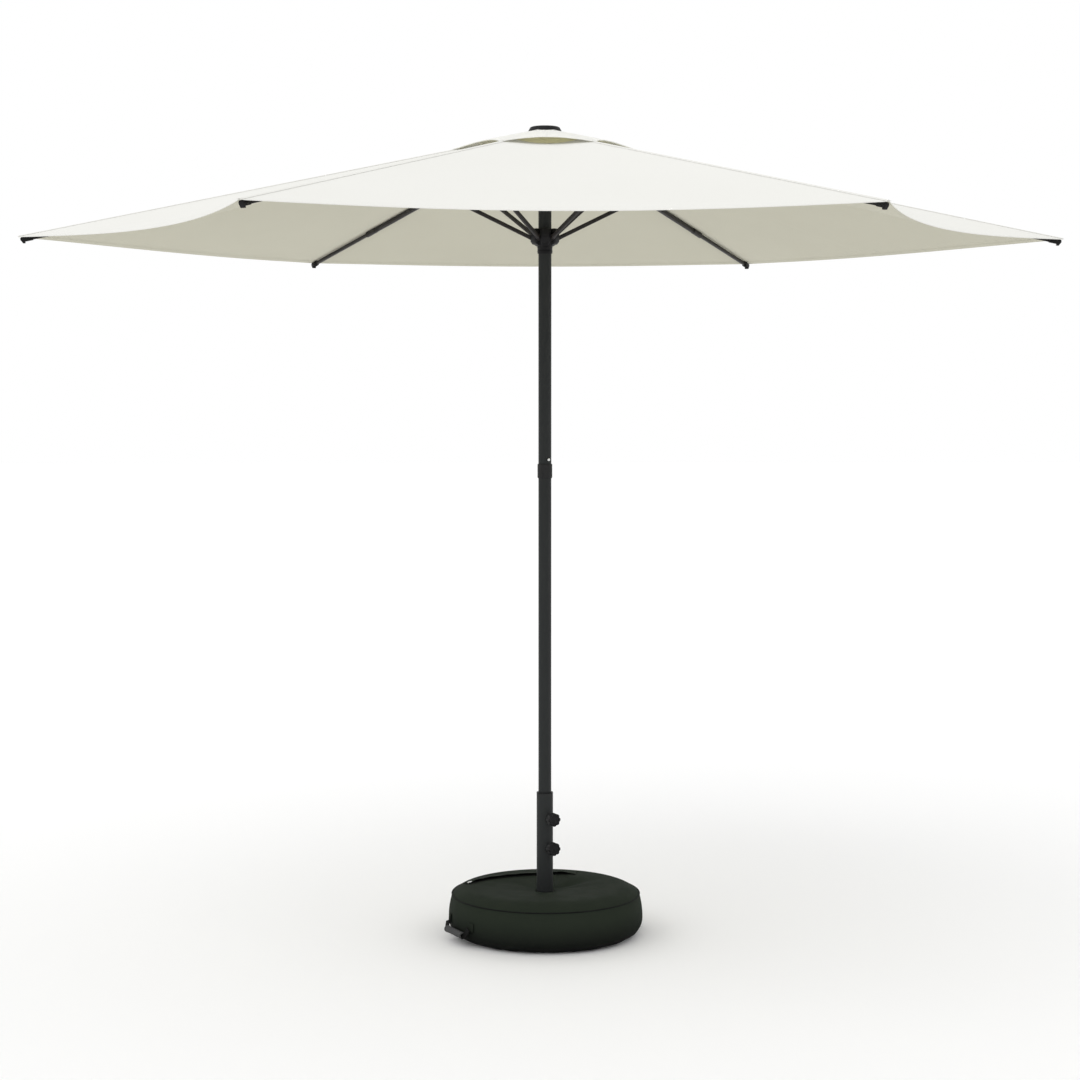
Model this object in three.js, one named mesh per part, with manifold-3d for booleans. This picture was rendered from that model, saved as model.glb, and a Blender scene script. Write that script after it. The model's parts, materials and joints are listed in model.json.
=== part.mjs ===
// A push-up patio umbrella on a sand-filled bag base. Millimetres, +Z up, rib 1 along +X,
// origin on the ground under the mast.
import * as THREE from "three";
import { mergeVertices } from "three/addons/utils/BufferGeometryUtils.js";
import Module from "manifold-3d";

const wasm = await Module();
wasm.setup();

// ---------- driving dimensions ----------
const gap = 0.3; // between pieces that touch
const spokes = 6;
const spokeAngle = (2 * Math.PI) / spokes;
const halfPanel = spokeAngle / 2;
const fabricThickness = 0.8;
const roundSegments = 24;
const smallSegments = 12;
const tinySegments = 8;
const bagSegments = 36;
const bagArcSteps = 4;
const cornerSteps = 1;
const linkSteps = 4;
const knobLobeSteps = 4;

const mast = { radius: 17, wall: 1.5, bottom: 13, joint: 1227.6, top: 2080 };
const spigot = { radius: 15.1, wall: 1.4, below: 76, above: 103 };
const collar = { radius: 19.5, low: 1208.7, high: 1246.5, web: 3 };
const snapSpring = { leaf: 0.7, back: -11, apex: -4, drop: 40, tab: 6, bend: 4 };
const snap = { height: 1257.7, radius: 4, hole: 4.6, stands: 2.6, depth: 8.4, azimuth: -56 };
const snapDome = { base: 0.6, shoulder: 0.7, drop: 0.5 };

const crown = { pivotRadius: 35, pivotHeight: 2091.5, core: 24, radius: 46, top: 2103, bottom: 2062 };
const crownEdge = { flare: 6, flareRise: 4, skirt: 10, chamfer: 3, chamferDrop: 2, roof: 4, slotBelow: 5 };
const crownWire = { radius: 1.7, clearance: 0.5, sides: 8 };
const finial = { radius: 43, low: 2110, high: 2122.4, stud: 5, studBottom: 2084 };
const slotLength = 60;
const slotClearance = 0.75;

const ribTip = { radius: 1350, height: 1828 };
const rib = { height: 14, width: 10, wall: 0.8, corner: 3, joinAt: 947 };
const ribOuter = { height: 11, width: 7.4, wall: 0.8, corner: 2.5, overlap: 40 };
const sleeve = { height: 15.5, width: 13, corner: 4.5, half: 28 };
const eye = { radius: 6, hole: 2.2, width: 6, reach: 36, lap: 4 };
const cap = { length: 31, height: 13, width: 11, past: 6, foot: 4, footAt: 10, tubeInset: 8 };

const strut = { height: 10.5, width: 9, wall: 0.9, corner: 2.5, inset: 12, endWall: 2 };
const strutHoles = { eye: 5.25, pivot: 2.4, drain: 1.6, drainAt: 36 };
const bracket = { drop: 14, cheek: 2, reach: 6, pin: 2, sink: 0.1 };
const runnerPivot = { radius: 30, height: 1831.7 };
const strutSlope = 0.487;
const runner = { sleeve: 19.5, bore: 17.5, bottom: 1794, core: 24, radius: 38, low: 1818, high: 1858 };
const runnerEdge = { neck: 6, step: 4, flare: 6, skirt: 5, rise: 7, chamfer: 2, slotBelow: 10, slotAbove: 5 };

const canopy = { radius: 1363.5, ridge: 1835.5, slope: 0.2005, sag: 0.033, scallop: 92, opening: 160 };
const vent = { radius: 242.5, innerRadius: 12, seat: 43, ridge: 2108, slope: 0.23, bow: 0.042, scallop: 25 };

const tube = { radius: 21.7, wall: 1.5, bottom: 8.6, top: 376.2 };
const bush = { inner: 17.5, bottom: 342, flange: 2 };
const clamp = { upper: 311.7, lower: 233.9, azimuth: -67, nutFlats: 17, nutHeight: 8 };
const screw = { radius: 4, hole: 4.4, holeLength: 60, padRadius: 4, padThickness: 2 };
const knob = { radius: 18, lobes: 8, lobeDepth: 1.6, start: 39, thickness: 17, bevel: 1.5 };
const knobNeck = { radius: 7, gap: 3, lap: 2 };
const plug = { bottom: 9.2, flange: 17, stem: 15.2, stemTop: 34 };

const bag = { foot: 215, belly: 257, bellyHeight: 50, seam: 248, seamHeight: 109, skin: 2 };
const bagTop = { crest: 190, crestHeight: 130, shoulder: 2.6, dip: 15, dipPower: 1.8, holeGap: 1 };
const bagTopRadii = [232, 215, 190, 110];
const sand = { height: 74, gap: 1, corner: 3 };
const cross = { length: 400, width: 40, thickness: 5, bottom: 2.6 };
const handle = { azimuths: [206, 26], half: 53, radial: 265, height: 32, sewnHeight: 50, sewnRadial: 254 };
const grip = { radius: 9.5, bore: 6, half: 46 };
const webbing = { width: 9, thickness: 2 };
const zip = { centreX: 34, centreY: -148, radius: 291, azimuth: 144, height: 132.5 };
const pull = { length: 16, width: 7, thickness: 2.4, hole: 1.4 };

// ---------- colours ----------
const paint = { color: 0x363c3c, roughness: 0.5, metalness: 0.4 };
const blackPlastic = { color: 0x1c1d1d, roughness: 0.55, metalness: 0 };
const steel = { color: 0xb8bab8, roughness: 0.35, metalness: 1 };
const canvasCloth = { color: 0xf3f3ee, roughness: 0.9, metalness: 0 };
const bagCloth = { color: 0x262b26, roughness: 0.85, metalness: 0 };
const sandGrain = { color: 0xb9a27a, roughness: 1, metalness: 0 };

// ---------- solids ----------
function solidOf(geometry) {
  const bare = geometry.index ? geometry.toNonIndexed() : geometry.clone();
  bare.deleteAttribute("normal");
  bare.deleteAttribute("uv");
  const merged = mergeVertices(bare, 1e-4);
  return new wasm.Manifold(
    new wasm.Mesh({
      numProp: 3,
      vertProperties: merged.attributes.position.array,
      triVerts: new Uint32Array(merged.index.array),
    }),
  );
}

function geometryOf(solid) {
  const mesh = solid.getMesh();
  const geometry = new THREE.BufferGeometry();
  geometry.setAttribute("position", new THREE.BufferAttribute(mesh.vertProperties, mesh.numProp));
  geometry.setIndex(new THREE.BufferAttribute(mesh.triVerts, 1));
  return geometry.toNonIndexed();
}

function join(first, ...rest) {
  return geometryOf(rest.reduce((whole, piece) => whole.add(solidOf(piece)), solidOf(first)));
}

function cut(first, ...tools) {
  return geometryOf(tools.reduce((whole, tool) => whole.subtract(solidOf(tool)), solidOf(first)));
}

// A solid of revolution about Z, from [radius, height] points that run anticlockwise.
function turned(profile, segments = roundSegments) {
  const points = profile.map(([radius, height]) => new THREE.Vector2(radius, height));
  return new THREE.LatheGeometry(points, segments).rotateX(Math.PI / 2);
}

function ring(inner, outer, low, high, segments = roundSegments) {
  return turned([[inner, low], [outer, low], [outer, high], [inner, high], [inner, low]], segments);
}

function rod(radius, low, high, segments = smallSegments) {
  return turned([[0, low], [radius, low], [radius, high], [0, high]], segments);
}

// Turns a solid made along +Z so that it points along +X.
function alongX(geometry) {
  return geometry.rotateY(Math.PI / 2);
}

function roundedOutline(shape, width, height, corner) {
  const x = width / 2;
  const y = height / 2;
  shape.moveTo(x, -y + corner);
  shape.lineTo(x, y - corner);
  shape.absarc(x - corner, y - corner, corner, 0, Math.PI / 2);
  shape.lineTo(-x + corner, y);
  shape.absarc(-x + corner, y - corner, corner, Math.PI / 2, Math.PI);
  shape.lineTo(-x, -y + corner);
  shape.absarc(-x + corner, -y + corner, corner, Math.PI, 1.5 * Math.PI);
  shape.lineTo(x - corner, -y);
  shape.absarc(x - corner, -y + corner, corner, 1.5 * Math.PI, 2 * Math.PI);
  return shape;
}

// A rounded bar along X from one station to another; its width runs along Y.
function bar(section, from, to) {
  const shape = roundedOutline(new THREE.Shape(), section.height, section.width, section.corner);
  const geometry = new THREE.ExtrudeGeometry(shape, {
    depth: to - from,
    bevelEnabled: false,
    curveSegments: cornerSteps,
  });
  return alongX(geometry).translate(from, 0, 0);
}

function shrunk(section, by) {
  return {
    height: section.height - 2 * by,
    width: section.width - 2 * by,
    corner: Math.max(section.corner - by, 0.8),
  };
}

// A plate in the XZ plane with round ends about x = from and x = to, and a hole at each named station.
function link(from, to, radius, width, holes, hole) {
  const shape = new THREE.Shape();
  shape.absarc(to, 0, radius, -Math.PI / 2, Math.PI / 2);
  shape.absarc(from, 0, radius, Math.PI / 2, 1.5 * Math.PI);
  for (const station of holes) {
    const path = new THREE.Path();
    path.absarc(station, 0, hole, 0, 2 * Math.PI);
    shape.holes.push(path);
  }
  const options = { depth: width, bevelEnabled: false, curveSegments: linkSteps };
  return new THREE.ExtrudeGeometry(shape, options).translate(0, 0, -width / 2).rotateX(Math.PI / 2);
}

// A solid extruded along Y from an outline of [x, z] points.
function sideCut(outline, width) {
  const shape = new THREE.Shape(outline.map(([x, z]) => new THREE.Vector2(x, z)));
  const geometry = new THREE.ExtrudeGeometry(shape, { depth: width, bevelEnabled: false });
  return geometry.rotateX(Math.PI / 2).translate(0, width / 2, 0);
}

// A thin closed sheet from a grid of points: its upper face, and the same face one thickness lower.
function sheet(rows, thickness) {
  const across = rows[0].length;
  const top = rows.flat();
  const under = top.map((point) => point.clone().setZ(point.z - thickness));
  const positions = [...top, ...under].flatMap((point) => point.toArray());
  const faces = [];
  const quad = (a, b, c, d) => faces.push(a, b, c, a, c, d);
  for (let row = 0; row + 1 < rows.length; row++) {
    for (let column = 0; column + 1 < across; column++) {
      const corner = row * across + column;
      const lower = corner + top.length;
      quad(corner, corner + across, corner + across + 1, corner + 1);
      quad(lower, lower + 1, lower + across + 1, lower + across);
    }
  }
  const border = [];
  for (let column = 0; column + 1 < across; column++) border.push(column);
  for (let row = 0; row + 1 < rows.length; row++) border.push(row * across + across - 1);
  for (let column = across - 1; column > 0; column--) border.push((rows.length - 1) * across + column);
  for (let row = rows.length - 1; row > 0; row--) border.push(row * across);
  border.forEach((from, index) => {
    const to = border[(index + 1) % border.length];
    quad(from, to, to + top.length, from + top.length);
  });
  const geometry = new THREE.BufferGeometry();
  geometry.setAttribute("position", new THREE.Float32BufferAttribute(positions, 3));
  geometry.setIndex(faces);
  return geometry.toNonIndexed();
}

const umbrella = new THREE.Group();

function place(name, geometry, look, parent = umbrella) {
  const mesh = new THREE.Mesh(geometry, new THREE.MeshStandardMaterial(look));
  mesh.name = name;
  parent.add(mesh);
  return mesh;
}

function turnedGroup(degrees, height = 0) {
  const group = new THREE.Group();
  group.rotation.z = THREE.MathUtils.degToRad(degrees);
  group.position.z = height;
  umbrella.add(group);
  return group;
}

// ---------- mast ----------
function buildMast() {
  const bore = mast.radius - mast.wall;
  const spigotBore = spigot.radius - spigot.wall;
  const webLow = mast.joint - collar.web / 2;
  const webHigh = mast.joint + collar.web / 2;
  const button = turnedGroup(snap.azimuth, snap.height);
  const buttonHole = () =>
    alongX(rod(snap.hole, 0, 2 * mast.radius))
      .translate(0, 0, snap.height)
      .rotateZ(THREE.MathUtils.degToRad(snap.azimuth));

  const lower = turned([
    [bore, mast.bottom],
    [mast.radius, mast.bottom],
    [mast.radius, webLow - gap],
    [spigot.radius, webLow - gap],
    [spigot.radius, mast.joint + spigot.above],
    [spigotBore, mast.joint + spigot.above],
    [spigotBore, mast.joint - spigot.below],
    [bore, mast.joint - spigot.below],
    [bore, mast.bottom],
  ]);
  place("lower_pole", cut(lower, buttonHole()), paint);

  const upper = ring(bore, mast.radius, webHigh + gap, mast.top);
  place("upper_pole", cut(upper, buttonHole()), paint);

  const clear = mast.radius + gap;
  const collarProfile = [
    [clear, collar.low],
    [collar.radius, collar.low],
    [collar.radius, collar.high],
    [clear, collar.high],
    [clear, webHigh],
    [spigot.radius + gap, webHigh],
    [spigot.radius + gap, webLow],
    [clear, webLow],
    [clear, collar.low],
  ];
  place("pole_collar", turned(collarProfile), blackPlastic);

  const face = mast.radius + snap.stands;
  const stem = [[0, snap.depth], [snap.radius, snap.depth], [snap.radius, mast.radius + snapDome.base]];
  const dome = [[snap.radius * snapDome.shoulder, face - snapDome.drop], [0, face]];
  place("snap_button", alongX(turned([...stem, ...dome], smallSegments)), steel, button);

  const front = snap.depth - gap;
  const { leaf, back, apex, drop, tab, bend } = snapSpring;
  const legOutline = [
    [front - leaf, tab],
    [front - leaf, -bend],
    [apex, -drop + 3 * leaf],
    [back + leaf, -tab],
    [back + leaf, bend],
    [back, bend],
    [back, -tab],
    [apex, -drop],
    [front, -bend],
    [front, tab],
  ];
  place("snap_spring", sideCut(legOutline, snap.radius * 2), steel, button);

  place(
    "pole_plug",
    turned([
      [0, plug.bottom],
      [plug.flange, plug.bottom],
      [plug.flange, mast.bottom - gap],
      [plug.stem, mast.bottom - gap],
      [plug.stem, plug.stemTop],
      [0, plug.stemTop],
    ]),
    blackPlastic,
  );
}

// ---------- crown ----------
function slots(width, from, low, high) {
  return Array.from({ length: spokes }, (_, index) =>
    new THREE.BoxGeometry(slotLength, width, high - low)
      .translate(from + slotLength / 2, 0, (low + high) / 2)
      .rotateZ(index * spokeAngle),
  );
}

// A six-sided ring of round wire, each side square to a rib at the pivot radius.
function hexWire(wireRadius) {
  const corner = crown.pivotRadius / Math.cos(halfPanel);
  const circle = Array.from({ length: crownWire.sides }, (_, index) => {
    const angle = (index / crownWire.sides) * 2 * Math.PI;
    return [corner + wireRadius * Math.cos(angle), crown.pivotHeight + wireRadius * Math.sin(angle)];
  });
  return turned([...circle, circle[0]], spokes);
}

function buildCrown() {
  const socket = mast.radius + gap;
  const studBore = finial.stud + gap;
  const body = turned([
    [studBore, mast.top + gap],
    [socket, mast.top + gap],
    [socket, crown.bottom],
    [crown.core, crown.bottom],
    [crown.radius - crownEdge.flare, crown.bottom + crownEdge.flareRise],
    [crown.radius, crown.bottom + crownEdge.skirt],
    [crown.radius, crown.top - crownEdge.chamferDrop],
    [crown.radius - crownEdge.chamfer, crown.top],
    [studBore, crown.top],
    [studBore, mast.top + gap],
  ]);
  const slotTop = crown.top - crownEdge.roof;
  const cuts = slots(eye.width + 2 * slotClearance, crown.core, crown.bottom - crownEdge.slotBelow, slotTop);
  place("crown_hub", cut(body, ...cuts, hexWire(crownWire.radius + crownWire.clearance)), blackPlastic);
  place("crown_wire", hexWire(crownWire.radius), steel);

  // The dome's outline above its rim, as steps in from the rim and heights up from it.
  const dome = [[0, 0], [0, 1.6], [2, 6], [5, 9.8], [13, 11.6]];
  const hollow = 7;
  place(
    "finial_cap",
    turned([
      [0, finial.studBottom],
      [finial.stud, finial.studBottom],
      [finial.stud, finial.low + hollow],
      [vent.innerRadius, finial.low + hollow],
      ...dome.map(([inwards, up]) => [finial.radius - inwards, finial.low + up]),
      [0, finial.high],
    ]),
    blackPlastic,
  );
}

// ---------- ribs and struts ----------
const ribDrop = crown.pivotHeight - ribTip.height;
const ribPitch = Math.atan2(ribDrop, ribTip.radius - crown.pivotRadius);
const ribLength = Math.hypot(ribDrop, ribTip.radius - crown.pivotRadius);

// Where the strut's line from the runner meets the bracket pivot, as a distance along the rib.
function bracketStation() {
  const [cos, sin] = [Math.cos(ribPitch), Math.sin(ribPitch)];
  const startX = crown.pivotRadius - bracket.drop * sin - runnerPivot.radius;
  const startZ = crown.pivotHeight - bracket.drop * cos - runnerPivot.height;
  return (startZ - strutSlope * startX) / (sin + strutSlope * cos);
}
const station = bracketStation();

function ribInner() {
  const start = eye.reach - eye.lap;
  const tubeBody = cut(bar(rib, start, rib.joinAt), bar(shrunk(rib, rib.wall), eye.reach, rib.joinAt + 1));
  const tab = link(0, eye.reach - eye.radius, eye.radius, eye.width, [0], eye.hole);
  const cheekMiddle = (rib.width + bracket.cheek) / 2 - bracket.sink;
  const cheeks = [-1, 1].map((side) =>
    link(0, bracket.drop, bracket.reach, bracket.cheek, [], 0)
      .rotateY(Math.PI / 2)
      .translate(station, side * cheekMiddle, 0),
  );
  const pin = rod(bracket.pin, -rib.width / 2 - 1, rib.width / 2 + 1, tinySegments)
    .rotateX(Math.PI / 2)
    .translate(station, 0, -bracket.drop);
  return join(tubeBody, tab, ...cheeks, pin);
}

function ribOuterPiece() {
  const end = ribLength - cap.tubeInset;
  const start = rib.joinAt - ribOuter.overlap;
  const collarPiece = cut(
    bar(sleeve, rib.joinAt - sleeve.half, rib.joinAt + sleeve.half),
    bar(shrunk(rib, -gap), 0, rib.joinAt + gap),
  );
  const solid = join(bar(ribOuter, start, end), collarPiece);
  return cut(solid, bar(shrunk(ribOuter, ribOuter.wall), start - 1, end + 1));
}

function ribCap() {
  const back = ribLength - cap.length + cap.past;
  const front = ribLength + cap.past;
  const half = cap.height / 2;
  const nose = 3;
  const outline = [
    [back, -half],
    [front - cap.footAt, -half],
    [front - cap.footAt, -half - cap.foot],
    [front - cap.footAt / 2, -half - cap.foot],
    [front - nose, -half],
    [front, -nose / 2],
    [front, half - nose],
    [front - nose, half - 1],
    [back, half],
  ];
  const bore = bar(shrunk(ribOuter, -gap), back - 1, ribLength - cap.tubeInset + gap);
  return cut(sideCut(outline, cap.width), bore);
}

function strutPiece(length) {
  const from = strut.inset;
  const to = length - strut.inset;
  const hollow = bar(shrunk(strut, strut.wall), from + strut.endWall, to - strut.endWall);
  const tubeBody = cut(bar(strut, from, to), hollow);
  const tabs = [
    link(0, from, strutHoles.eye, strut.width, [0], strutHoles.pivot),
    link(to, length, strutHoles.eye, strut.width, [length], strutHoles.pivot),
  ];
  const drain = rod(strutHoles.drain, -strut.height, 0, tinySegments)
    .translate(length - strutHoles.drainAt, 0, 0);
  return cut(join(tubeBody, ...tabs), drain);
}

function buildSpoke(index) {
  const spoke = turnedGroup(THREE.MathUtils.radToDeg(index * spokeAngle));
  const number = index + 1;
  const ribFrame = new THREE.Group();
  ribFrame.position.set(crown.pivotRadius, 0, crown.pivotHeight);
  ribFrame.rotation.y = ribPitch;
  spoke.add(ribFrame);
  place(`rib_${number}_inner`, ribInner(), paint, ribFrame);
  place(`rib_${number}_outer`, ribOuterPiece(), paint, ribFrame);
  place(`rib_${number}_cap`, ribCap(), blackPlastic, ribFrame);

  const pivot = new THREE.Vector3(station, 0, -bracket.drop)
    .applyAxisAngle(new THREE.Vector3(0, 1, 0), ribPitch)
    .add(ribFrame.position);
  const toRunner = new THREE.Vector2(runnerPivot.radius - pivot.x, runnerPivot.height - pivot.z);
  const strutFrame = new THREE.Group();
  strutFrame.position.copy(pivot);
  strutFrame.rotation.y = Math.atan2(-toRunner.y, toRunner.x);
  spoke.add(strutFrame);
  place(`strut_${number}`, strutPiece(toRunner.length()), paint, strutFrame);

  place(`canopy_gore_${number}`, gore(canopySurface, fabricThickness), canvasCloth, spoke);
  place(`vent_gore_${number}`, gore(ventSurface, fabricThickness), canvasCloth, spoke);
}

// ---------- canopy ----------
// A panel between two ribs, measured outwards from the mast (out) and sideways from its middle line:
// share is 1 on a rib and 0 on the middle line, along runs from 0 at the inner edge to 1 at the hem.
function panelPoint({ inner, outer, scallop }, share, along) {
  const tan = Math.tan(halfPanel);
  const outHem = outer * Math.cos(halfPanel) - scallop * (1 - share * share);
  const sideHem = share * outer * Math.sin(halfPanel);
  const outInner = inner * Math.cos(halfPanel);
  const out = outInner + along * (outHem - outInner);
  const side = share * outInner * tan + along * (sideHem - share * outInner * tan);
  return { out, side, towardsRib: Math.min(side / (out * tan), 1) };
}

const canopySurface = {
  shape: { inner: canopy.opening, outer: canopy.radius, scallop: canopy.scallop },
  rows: 5,
  height({ out, towardsRib }) {
    const ridge = canopy.ridge + canopy.slope * (canopy.radius - out / Math.cos(halfPanel));
    return ridge - canopy.sag * out * (1 - towardsRib ** 2);
  },
};

const ventSurface = {
  shape: { inner: vent.innerRadius, outer: vent.radius, scallop: vent.scallop },
  rows: 3,
  height({ out, towardsRib }) {
    const ridge = vent.ridge - vent.slope * (out / Math.cos(halfPanel) - vent.seat);
    return ridge + vent.bow * out * (1 - towardsRib ** 2);
  },
};

// The cloth that one rib carries: half a panel on each side of it.
function gore(surface, thickness) {
  const halfColumns = 3;
  const rows = [];
  for (let row = 0; row < surface.rows; row++) {
    const points = [];
    for (let column = -halfColumns; column <= halfColumns; column++) {
      const share = 1 - Math.abs(column) / halfColumns;
      const panel = panelPoint(surface.shape, share, row / (surface.rows - 1));
      const hand = Math.sign(column) || 1;
      const side = Math.max(panel.side, gap / 2);
      const point = new THREE.Vector3(panel.out, -hand * side, surface.height(panel));
      points.push(point.applyAxisAngle(new THREE.Vector3(0, 0, 1), hand * halfPanel));
    }
    rows.push(points);
  }
  return sheet(rows, thickness);
}

// ---------- runner ----------
function buildRunner() {
  const body = turned([
    [runner.bore, runner.bottom],
    [runner.sleeve, runner.bottom],
    [runner.sleeve, runner.low - runnerEdge.neck],
    [runner.core, runner.low - runnerEdge.step],
    [runner.core + runnerEdge.flare, runner.low],
    [runner.radius - runnerEdge.skirt, runner.low],
    [runner.radius, runner.low + runnerEdge.rise],
    [runner.radius, runner.high - runnerEdge.chamfer],
    [runner.radius - runnerEdge.chamfer, runner.high],
    [runner.bore, runner.high],
    [runner.bore, runner.bottom],
  ]);
  const width = strut.width + 2 * slotClearance;
  const slotLow = runner.low - runnerEdge.slotBelow;
  const slotHigh = runner.high + runnerEdge.slotAbove;
  place("runner", cut(body, ...slots(width, runner.core, slotLow, slotHigh)), blackPlastic);
}

// ---------- base ----------
function buildBaseTube() {
  const angle = THREE.MathUtils.degToRad(clamp.azimuth);
  const heights = [clamp.upper, clamp.lower];
  const nutSides = 6;
  const nutRadius = clamp.nutFlats / 2 / Math.cos(Math.PI / nutSides);
  const nuts = heights.map((height) =>
    alongX(rod(nutRadius, tube.radius - 1, tube.radius + clamp.nutHeight, nutSides))
      .translate(0, 0, height)
      .rotateZ(angle),
  );
  const holes = heights.map((height) =>
    alongX(rod(screw.hole, 0, screw.holeLength)).translate(0, 0, height).rotateZ(angle),
  );
  const bore = rod(tube.radius - tube.wall, tube.bottom - 1, tube.top + 1, roundSegments);
  const solid = join(rod(tube.radius, tube.bottom, tube.top, roundSegments), ...nuts);
  place("base_tube", cut(solid, bore, ...holes), paint);

  const bushOuter = tube.radius - tube.wall - gap;
  const top = tube.top + gap;
  place(
    "tube_bush",
    turned([
      [bush.inner, bush.bottom],
      [bushOuter, bush.bottom],
      [bushOuter, top],
      [tube.radius, top],
      [tube.radius, top + bush.flange / 2],
      [tube.radius - bush.flange, top + bush.flange],
      [bush.inner, top + bush.flange],
      [bush.inner, bush.bottom],
    ]),
    blackPlastic,
  );
}

function knobOutline() {
  const steps = knob.lobes * knobLobeSteps;
  const points = Array.from({ length: steps }, (_, index) => {
    const angle = (index / steps) * 2 * Math.PI;
    const radius = knob.radius - knob.lobeDepth * (1 - Math.abs(Math.cos((knob.lobes * angle) / 2)));
    return new THREE.Vector2(radius * Math.cos(angle), radius * Math.sin(angle));
  });
  return new THREE.Shape(points);
}

function buildClamp(name, height) {
  const side = turnedGroup(clamp.azimuth, height);
  const padStart = mast.radius + gap;
  const padEnd = padStart + screw.padThickness;
  place(`clamp_pad_${name}`, alongX(rod(screw.padRadius, padStart, padEnd)), blackPlastic, side);
  const head = new THREE.ExtrudeGeometry(knobOutline(), {
    depth: knob.thickness - 2 * knob.bevel,
    bevelEnabled: true,
    bevelThickness: knob.bevel,
    bevelSize: knob.bevel,
    bevelOffset: -knob.bevel,
    bevelSegments: 1,
  }).translate(0, 0, knob.start + knob.bevel);
  const inHead = knob.start + knobNeck.lap;
  const neck = rod(knobNeck.radius, tube.radius + clamp.nutHeight + knobNeck.gap, inHead);
  const thread = rod(screw.radius, padEnd + gap, inHead);
  place(`clamp_knob_${name}`, alongX(join(head, neck, thread)), blackPlastic, side);
}

// The height of the bag's top: it rounds over from the seam to a crest, and dips towards the tube.
function bagTopHeight(radius) {
  const { crest, crestHeight, shoulder, dip, dipPower } = bagTop;
  if (radius > crest) {
    const share = (radius - crest) / (bag.seam - crest);
    return crestHeight - (crestHeight - bag.seamHeight) * share ** shoulder;
  }
  return crestHeight - dip * ((crest - radius) / (crest - tube.radius)) ** dipPower;
}

// The bag's outline from the middle of its flat bottom to the hole in its top, moved in by an inset.
function bagProfile(inset) {
  const points = [[0, inset]];
  for (let step = 0; step <= bagArcSteps; step++) {
    const angle = (step / bagArcSteps) * (Math.PI / 2);
    const radius = bag.foot + (bag.belly - bag.foot) * Math.sin(angle) - inset * Math.sin(angle);
    points.push([radius, inset + (bag.bellyHeight - inset) * (1 - Math.cos(angle))]);
  }
  for (let step = 1; step <= bagArcSteps; step++) {
    const share = step / bagArcSteps;
    const radius = bag.belly - (bag.belly - bag.seam) * share * share - inset;
    points.push([radius, bag.bellyHeight + (bag.seamHeight - bag.bellyHeight) * share]);
  }
  for (const radius of [...bagTopRadii, tube.radius + bagTop.holeGap]) {
    points.push([radius, bagTopHeight(radius) - inset]);
  }
  return points;
}

function buildBag() {
  const outer = bagProfile(0);
  const inner = bagProfile(bag.skin).reverse();
  place("bag_shell", turned([...outer, ...inner], bagSegments), bagCloth);

  const sandBottom = cross.bottom + cross.thickness + gap;
  const inBag = bagProfile(bag.skin + sand.gap);
  const side = inBag.filter(([, height]) => height > sandBottom && height < sand.height);
  const hole = tube.radius + bagTop.holeGap;
  const fill = [
    [hole, sandBottom],
    [bag.foot, sandBottom],
    ...side,
    [side.at(-1)[0] - sand.corner, sand.height],
    [hole, sand.height],
    [hole, sandBottom],
  ];
  place("sand_fill", turned(fill, bagSegments), sandGrain);

  const arms = [0, 1].map((index) =>
    new THREE.BoxGeometry(cross.length, cross.width, cross.thickness)
      .translate(0, 0, cross.bottom + cross.thickness / 2)
      .rotateZ((index * Math.PI) / 2),
  );
  place("foot_cross", join(...arms), paint);

  // The zip follows an arc behind the tube; its pull lies along the arc.
  const run = turnedGroup(zip.azimuth);
  run.position.set(zip.centreX, zip.centreY, zip.height);
  const reach = pull.length - pull.width;
  const tag = link(0, reach, pull.width / 2, pull.thickness, [reach], pull.hole)
    .rotateX(Math.PI / 2)
    .rotateZ(-Math.PI / 2)
    .translate(zip.radius, 0, 0);
  place("zip_pull", tag, steel, run);
}

// A webbing loop through a tubular grip: it hangs from two sewn points and swings about their line.
function buildHandle(name, azimuth) {
  const side = turnedGroup(azimuth);
  const leg = (hand) => {
    const start = new THREE.Vector3(handle.sewnRadial, hand * handle.half, handle.sewnHeight);
    const end = new THREE.Vector3(handle.radial, hand * handle.half, handle.height);
    const length = start.distanceTo(end) + webbing.thickness;
    const tilt = Math.atan2(end.x - start.x, start.z - end.z);
    return new THREE.BoxGeometry(webbing.thickness, webbing.width, length)
      .rotateY(-tilt)
      .translate((start.x + end.x) / 2, hand * handle.half, (start.z + end.z) / 2);
  };
  const through = new THREE.BoxGeometry(webbing.thickness, 2 * handle.half, webbing.width)
    .translate(handle.radial, 0, handle.height);
  place(`handle_strap_${name}`, join(through, leg(1), leg(-1)), blackPlastic, side);
  const tubeGrip = ring(grip.bore, grip.radius, -grip.half, grip.half, smallSegments)
    .rotateX(Math.PI / 2)
    .translate(handle.radial, 0, handle.height);
  place(`handle_grip_${name}`, tubeGrip, blackPlastic, side);
}

buildMast();
buildCrown();
for (let index = 0; index < spokes; index++) buildSpoke(index);
buildRunner();
buildBaseTube();
buildClamp("upper", clamp.upper);
buildClamp("lower", clamp.lower);
buildBag();
handle.azimuths.forEach((azimuth, index) => buildHandle(["front", "rear"][index], azimuth));

export default umbrella;
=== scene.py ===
"""A push-up patio umbrella on a sand-filled bag base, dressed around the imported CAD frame.

Metres, +Z up, rib 1 along +X, origin on the ground under the mast.
"""

import json
import math

import bmesh
import bpy
import numpy as np
from mathutils import Euler, Matrix, Vector, noise

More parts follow.
